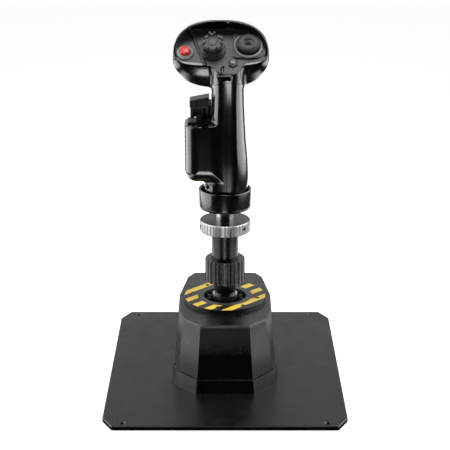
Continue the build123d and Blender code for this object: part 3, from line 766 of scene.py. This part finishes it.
def coil_mesh(name, start, end, turns, radius, wire):
    """A compression spring between two points."""
    start, end = np.array(start, float), np.array(end, float)
    axis = (end - start) / np.linalg.norm(end - start)
    side = np.cross(axis, (0, 0, 1.0))
    side /= np.linalg.norm(side)
    other = np.cross(axis, side)
    steps, around = turns * 20, 8
    verts, faces = [], []
    for i in range(steps + 1):
        t = i / steps
        angle = turns * tau * t
        out = cos(angle) * side + sin(angle) * other
        centre = start + (end - start) * t + out * radius
        for j in range(around):
            phi = tau * j / around
            verts.append(centre + wire * (cos(phi) * out + sin(phi) * axis))
    for i in range(steps):
        for j in range(around):
            k = (j + 1) % around
            low, high = i * around, (i + 1) * around
            faces.append((low + j, low + k, high + k, high + j))
    faces.append(tuple(range(around))[::-1])
    faces.append(tuple(steps * around + j for j in range(around)))
    return add_object(name, verts, faces, 60)


def spring(name, near, far, turns, replaced, material):
    """A coil between two points, in place of a CAD node."""
    obj = coil_mesh(name, near, far, turns, SPRING_R, WIRE_R)
    obj.data.materials.append(material)
    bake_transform(obj)
    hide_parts(replaced)


def build_springs(materials):
    steel = materials["spring_steel"]
    for side, across, along in ((-1, "left", "front"), (1, "right", "rear")):
        near, far = (side * 3.2, -39.5, SPRING_Z), (side * 39.4, -39.5, SPRING_Z)
        spring(f"roll_spring_{across}", near, far, 10, "roll_springs", steel)
        near, far = (0, side * 4.6, SPRING_Z), (0, side * 29.4, SPRING_Z)
        spring(f"pitch_spring_{along}", near, far, 7, "pitch_springs", steel)


# ==== materials ==============================================================================
def new_material(name):
    mat = bpy.data.materials.new(name)
    mat.use_nodes = True
    tree = mat.node_tree
    tree.nodes.clear()
    out = tree.nodes.new("ShaderNodeOutputMaterial")
    shader = tree.nodes.new("ShaderNodeBsdfPrincipled")
    tree.links.new(shader.outputs["BSDF"], out.inputs["Surface"])
    coords = tree.nodes.new("ShaderNodeTexCoord").outputs["Object"]
    return mat, tree, shader, coords


def node(tree, kind, inputs=None, **settings):
    """A shader node whose inputs are either linked or given a value."""
    made = tree.nodes.new(kind)
    for key, value in settings.items():
        setattr(made, key, value)
    for key, value in (inputs or {}).items():
        if isinstance(value, bpy.types.NodeSocket):
            tree.links.new(value, made.inputs[key])
        else:
            made.inputs[key].default_value = value
    return made


def noise(tree, coords, scale, detail=4.0, rough=0.55):
    inputs = {"Vector": coords, "Scale": scale, "Detail": detail, "Roughness": rough}
    return node(tree, "ShaderNodeTexNoise", inputs).outputs["Fac"]


def remap(tree, value, low, high, a=0.3, b=0.7):
    inputs = {"Value": value, "From Min": a, "From Max": b, "To Min": low, "To Max": high}
    return node(tree, "ShaderNodeMapRange", inputs).outputs["Result"]


def smooth_remap(tree, value, a, b):
    """A smooth rise from 0 to 1."""
    inputs = {"Value": value, "From Min": a, "From Max": b, "To Min": 0.0, "To Max": 1.0}
    return node(tree, "ShaderNodeMapRange", inputs, interpolation_type="SMOOTHSTEP").outputs["Result"]


def sums(tree, operation, *values):
    """One arithmetic node."""
    return node(tree, "ShaderNodeMath", dict(enumerate(values)), operation=operation).outputs[0]


def edge_mask(tree, width):
    """Grows from 0 on flat ground to 1 on sharp edges."""
    bevel = node(tree, "ShaderNodeBevel", {"Radius": width * MM}, samples=6)
    plain = node(tree, "ShaderNodeNewGeometry").outputs["Normal"]
    both = {0: bevel.outputs["Normal"], 1: plain}
    dot = node(tree, "ShaderNodeVectorMath", both, operation="DOT_PRODUCT").outputs["Value"]
    return remap(tree, sums(tree, "SUBTRACT", 1.0, dot), 0.0, 1.0, 0.02, 0.22)


def mix_color(tree, factor, a, b):
    made = node(tree, "ShaderNodeMix", {"Factor": factor, "A": a, "B": b}, data_type="RGBA")
    return made.outputs["Result"]


def finish_material(
    name, color, rough, metal=0.0, grain=900.0, bump=0.1, spread=0.06, tone=0.25,
    coat=0.0, coat_rough=0.12, edge_highlight_and_wear=None, edge_highlight_width=0.5,
):
    """A painted, moulded or machined finish: colour and roughness vary, fine grain is a bump."""
    mat, tree, shader, coords = new_material(name)
    clouds = noise(tree, coords, 38.0, 5.0)
    fine = noise(tree, coords, grain, 3.0, 0.6)
    dark = tuple(c * (1 - tone) for c in color) + (1.0,)
    light = tuple(min(1.0, c * (1 + tone)) for c in color) + (1.0,)
    base = mix_color(tree, remap(tree, clouds, 0.0, 1.0), dark, light)
    roughness = remap(tree, clouds, rough - spread, rough + spread)
    if edge_highlight_and_wear:
        # painted highlight: edges get a lighter colour, patchy like rubbed paint, in place of light
        # catching the bevels
        mask = edge_mask(tree, edge_highlight_width)
        patchy = sums(tree, "MULTIPLY", mask, remap(tree, clouds, 0.45, 1.0))
        base = mix_color(tree, patchy, base, tuple(edge_highlight_and_wear) + (1.0,))
    tree.links.new(base, shader.inputs["Base Color"])
    tree.links.new(roughness, shader.inputs["Roughness"])
    relief = node(tree, "ShaderNodeBump", {"Height": fine, "Strength": bump, "Distance": 0.0002})
    tree.links.new(relief.outputs["Normal"], shader.inputs["Normal"])
    shader.inputs["Metallic"].default_value = metal
    shader.inputs["Coat Weight"].default_value = coat
    shader.inputs["Coat Roughness"].default_value = coat_rough
    return mat


def painted_over(mat, factor, color):
    """Mixes a second colour over the material's own colour."""
    tree = mat.node_tree
    shader = next(n for n in tree.nodes if n.type == "BSDF_PRINCIPLED")
    under = shader.inputs["Base Color"].links[0].from_socket
    mixed = mix_color(tree, factor, under, color + (1.0,))
    tree.links.new(mixed, shader.inputs["Base Color"])
    return mat


def facing_up(tree, limit):
    """1 on faces whose normal is nearly vertical."""
    normal = node(tree, "ShaderNodeNewGeometry").outputs["Normal"]
    up = node(tree, "ShaderNodeSeparateXYZ", {0: normal}).outputs["Z"]
    return sums(tree, "GREATER_THAN", up, limit)


STRIPE_PERIOD = 20.3
STRIPE_START = 7.1
STRIPES_BEFORE_ZERO = 100


def striped(mat_name, base_color, stripe_color):
    """Diagonal stripes painted on the upward faces of the deck ring."""
    mat = finish_material(mat_name, base_color, 0.38, grain=1500, bump=0.2, edge_highlight_and_wear=EDGE_30, edge_highlight_width=0.4)
    tree = mat.node_tree
    coords = node(tree, "ShaderNodeTexCoord").outputs["Object"]
    split = node(tree, "ShaderNodeSeparateXYZ", {0: coords})
    run = sums(tree, "SUBTRACT", split.outputs["X"], split.outputs["Y"])
    period = STRIPE_PERIOD * MM * 2**0.5
    start = STRIPE_START * MM * 2**0.5 + STRIPES_BEFORE_ZERO * period
    wave = sums(tree, "MODULO", sums(tree, "ADD", run, start), period)
    ragged = remap(tree, noise(tree, coords, 900.0, 3.0), 0.485 * period, 0.5 * period)
    mask = sums(tree, "MULTIPLY", sums(tree, "LESS_THAN", wave, ragged), facing_up(tree, 0.9))
    scuffs = remap(tree, noise(tree, coords, 160.0, 6.0, 0.7), 1.0, 0.86, 0.5, 0.75)
    return painted_over(mat, sums(tree, "MULTIPLY", mask, scuffs), stripe_color)


def two_tone(mat_name, side_color, top_color):
    """Bright machined sides and a darker, duller top face."""
    mat = finish_material(mat_name, side_color, 0.34, metal=1.0, grain=700, bump=0.25, tone=0.12)
    return painted_over(mat, facing_up(mat.node_tree, 0.95), top_color)


# colours painted on edges as a highlight, patchy like a coat rubbed off an edge
EDGE_02 = (0.02, 0.02, 0.02)
EDGE_12 = (0.12, 0.12, 0.12)
EDGE_16 = (0.16, 0.16, 0.16)
EDGE_16_BLUE = (0.16, 0.16, 0.165)
EDGE_20 = (0.2, 0.2, 0.2)
EDGE_22 = (0.22, 0.22, 0.22)
EDGE_30 = (0.3, 0.3, 0.3)
EDGE_30_BLUE = (0.3, 0.3, 0.31)
EDGE_50 = (0.5, 0.5, 0.5)


def make_materials():
    """One material for each material slot, plus those that only the pieces made here use."""
    # the edge colours given below are painted highlights on the edges, patchy like rubbed paint
    coat = {"grain": 1500, "bump": 0.18}
    shaft = {"grain": 1200, "bump": 0.12, "edge_highlight_and_wear": EDGE_22, "edge_highlight_width": 0.45}
    gloss = {"spread": 0.03, "grain": 600, "bump": 0.03, "coat": 0.6, "coat_rough": 0.14}
    matt = {"grain": 1300, "bump": 0.15, "edge_highlight_and_wear": EDGE_16, "edge_highlight_width": 0.3}
    moulded = {"grain": 1200, "bump": 0.2}
    black = (0.003, 0.003, 0.0032)
    finishes = {
        "plate_black": ("plate_coat", black, 0.35, {**coat, "edge_highlight_and_wear": EDGE_16_BLUE, "edge_highlight_width": 0.5}),
        "tower_black": ("tower_coat", black, 0.30, {**coat, "edge_highlight_and_wear": EDGE_30_BLUE, "edge_highlight_width": 0.6}),
        "gimbal_alloy": ("gimbal_alloy", (0.035, 0.035, 0.037), 0.30, {"metal": 0.3}),
        "bright_steel": ("bright_steel", (0.42, 0.42, 0.43), 0.25, {"metal": 1.0}),
        "bearing_steel": ("bearing_steel", (0.6, 0.6, 0.62), 0.15, {"metal": 1.0}),
        "screw_black": (
            "screw_black", (0.02, 0.02, 0.022), 0.32,
            {"metal": 0.5, "edge_highlight_and_wear": EDGE_30, "edge_highlight_width": 0.25},
        ),
        "spring_steel": ("spring_steel", (0.45, 0.45, 0.47), 0.3, {"metal": 1.0}),
        "shaft_black": ("shaft_coat", black, 0.26, shaft),
        "grip": (
            "grip_coat", (0.0018, 0.0018, 0.0019), 0.20,
            {**gloss, "edge_highlight_and_wear": EDGE_02, "edge_highlight_width": 0.4},
        ),
        "panel": ("panel_coat", (0.055, 0.055, 0.0555), 0.42, matt),
        "panel_black": ("pad_coat", (0.03, 0.03, 0.0305), 0.42, matt),
        "lip_grey": (
            "lip_coat", (0.34, 0.34, 0.34), 0.4,
            {**moulded, "bump": 0.15, "edge_highlight_and_wear": EDGE_50, "edge_highlight_width": 0.3},
        ),
        "crown_grey": (
            "crown_plastic", (0.055, 0.055, 0.056), 0.42,
            {**moulded, "edge_highlight_and_wear": EDGE_20, "edge_highlight_width": 0.4},
        ),
        "hat_black": (
            "hat_plastic", (0.014, 0.014, 0.0145), 0.4,
            {**moulded, "edge_highlight_and_wear": EDGE_12, "edge_highlight_width": 0.35},
        ),
        "red_plastic": ("red_plastic", (0.72, 0.035, 0.03), 0.34, {"tone": 0.08, "coat": 0.2}),
        "black_rubber": ("foot_rubber", (0.012, 0.012, 0.012), 0.8, {"bump": 0.4}),
        "board_green": ("board_mask", (0.02, 0.12, 0.05), 0.35, {}),
        "magnet_grey": ("magnet_plating", (0.6, 0.6, 0.6), 0.2, {"metal": 1.0}),
        "black_plastic": ("moulded_plastic", (0.010, 0.010, 0.010), 0.45, {}),
        "bezel_grey": ("bezel_anodised", (0.045, 0.045, 0.047), 0.36, {"metal": 0.3}),
    }
    made = {}
    for slot, (name, color, rough, more) in finishes.items():
        made[slot] = finish_material(name, color, rough, **more)
    made["ring_stripes"] = striped("ring_coat", (0.007, 0.007, 0.007), (0.75, 0.52, 0.05))
    made["machined_silver"] = two_tone("machined_silver", (0.42, 0.42, 0.425), (0.085, 0.085, 0.088))
    return made


def dress_cad(materials):
    """Gives every CAD node the material of its slot in the record."""
    slots = {s["node"]: s["material_slot"] for s in frame["record"]["subparts"]}
    for name, obj in nodes.items():
        mat = materials["grip"] if slots[name] == "grip_black" else materials[slots[name]]
        for slot in obj.material_slots:
            slot.link = "OBJECT"
            slot.material = mat


# ==== studio =================================================================================
def area_light(name, at, target, size, power):
    data = bpy.data.lights.new(name, "AREA")
    data.shape = "RECTANGLE"
    data.size, data.size_y = size
    data.energy = power
    light = bpy.data.objects.new(name, data)
    light.location = at
    light.rotation_euler = (Vector(target) - Vector(at)).to_track_quat("-Z", "Y").to_euler()
    bpy.context.scene.collection.objects.link(light)
    return light


WHITE = (1, 1, 1, 1)


def for_camera(tree, seen, unseen):
    """One shader for the camera's own rays and another for light and reflections."""
    path = node(tree, "ShaderNodeLightPath").outputs["Is Camera Ray"]
    return node(tree, "ShaderNodeMixShader", {0: path, 1: unseen, 2: seen}).outputs[0]


def studio_world(scene):
    """White behind the object for the camera. In reflections: a bright rear wall and dark elsewhere."""
    world = bpy.data.worlds.new("studio")
    scene.world = world
    world.use_nodes = True
    tree = world.node_tree
    tree.nodes.clear()
    out = tree.nodes.new("ShaderNodeOutputWorld")
    heading = node(tree, "ShaderNodeTexCoord").outputs["Generated"]
    way = node(tree, "ShaderNodeSeparateXYZ", {0: heading}).outputs
    behind = smooth_remap(tree, way["Y"], 0.45, 0.85)
    wall = sums(tree, "MULTIPLY", behind, smooth_remap(tree, way["Z"], 0.02, 0.12))
    wall = sums(tree, "MULTIPLY", wall, remap(tree, way["Z"], 1.0, 0.5, 0.38, 0.50))
    glow = remap(tree, wall, 0.015, 0.80, 0.0, 1.0)
    unseen = node(tree, "ShaderNodeBackground", {"Color": WHITE, "Strength": glow}).outputs[0]
    seen = node(tree, "ShaderNodeBackground", {"Color": WHITE, "Strength": 1.0}).outputs[0]
    tree.links.new(for_camera(tree, seen, unseen), out.inputs["Surface"])


SIDE_GLOW = 3.0
FLOOR_DROP = 0.0002


def studio_floor(scene):
    """A pale floor with a soft contact shadow. In reflections it glows in a strip on each side."""
    mesh = bpy.data.meshes.new("floor")
    corners = [(-2.5, -0.3, 0), (2.5, -0.3, 0), (2.5, 3.0, 0), (-2.5, 3.0, 0)]
    mesh.from_pydata(corners, [], [(0, 1, 2, 3)])
    ground = bpy.data.objects.new("floor", mesh)
    scene.collection.objects.link(ground)
    ground.location.z = cad_box[0][2] - FLOOR_DROP
    mat, tree, shader, coords = new_material("floor_paint")
    tone = mix_color(tree, noise(tree, coords, 3.0), (0.60, 0.60, 0.60, 1), (0.64, 0.64, 0.64, 1))
    tree.links.new(tone, shader.inputs["Base Color"])
    shader.inputs["Roughness"].default_value = 0.9
    shader.inputs["Specular IOR Level"].default_value = 0.1
    glow = node(tree, "ShaderNodeEmission", {"Color": WHITE, "Strength": 0.9}).outputs[0]
    lit = node(tree, "ShaderNodeAddShader", {0: shader.outputs[0], 1: glow}).outputs[0]
    across = sums(tree, "ABSOLUTE", node(tree, "ShaderNodeSeparateXYZ", {0: coords}).outputs["X"])
    inner = remap(tree, across, 0.0, 1.0, 0.18, 0.30)
    outer = remap(tree, across, SIDE_GLOW, 0.0, 0.36, 0.47)
    glossy = node(tree, "ShaderNodeLightPath").outputs["Is Glossy Ray"]
    band = sums(tree, "MULTIPLY_ADD", sums(tree, "MULTIPLY", inner, outer), glossy, 0.03)
    dim = node(tree, "ShaderNodeEmission", {"Color": WHITE, "Strength": band}).outputs[0]
    out = next(n for n in tree.nodes if n.type == "OUTPUT_MATERIAL")
    tree.links.new(for_camera(tree, lit, dim), out.inputs["Surface"])
    mesh.materials.append(mat)


CAMERA_AT = (0.0, -1.596, 0.7415)
CAMERA_DOWN = 18.8


def studio():
    scene = bpy.context.scene
    scene.view_settings.view_transform = "Standard"
    studio_world(scene)
    studio_floor(scene)
    area_light("left_box", (-0.62, 0.1, 0.66), (0, 0.1, 0.66), (0.9, 1.3), 13)
    area_light("right_box", (0.62, 0.1, 0.70), (0, 0.1, 0.70), (0.9, 1.22), 12)
    area_light("top_box", (0.0, -0.25, 1.45), (0, -0.1, 0.3), (0.5, 0.5), 5.5)
    area_light("front_card", (-0.05, -0.78, -0.2), (-0.05, -0.78, 1.0), (0.22, 0.5), 2.6)
    camera_data = bpy.data.cameras.new("camera")
    camera_data.sensor_width = 36.0
    camera_data.lens = 104.0
    camera = bpy.data.objects.new("camera", camera_data)
    camera.location = CAMERA_AT
    camera.rotation_euler = (radians(90 - CAMERA_DOWN), 0, 0)
    scene.collection.objects.link(camera)
    scene.camera = camera


materials = make_materials()
dress_cad(materials)
build_grip(materials)
build_controls(materials)
build_collar(materials)
build_springs(materials)
studio()
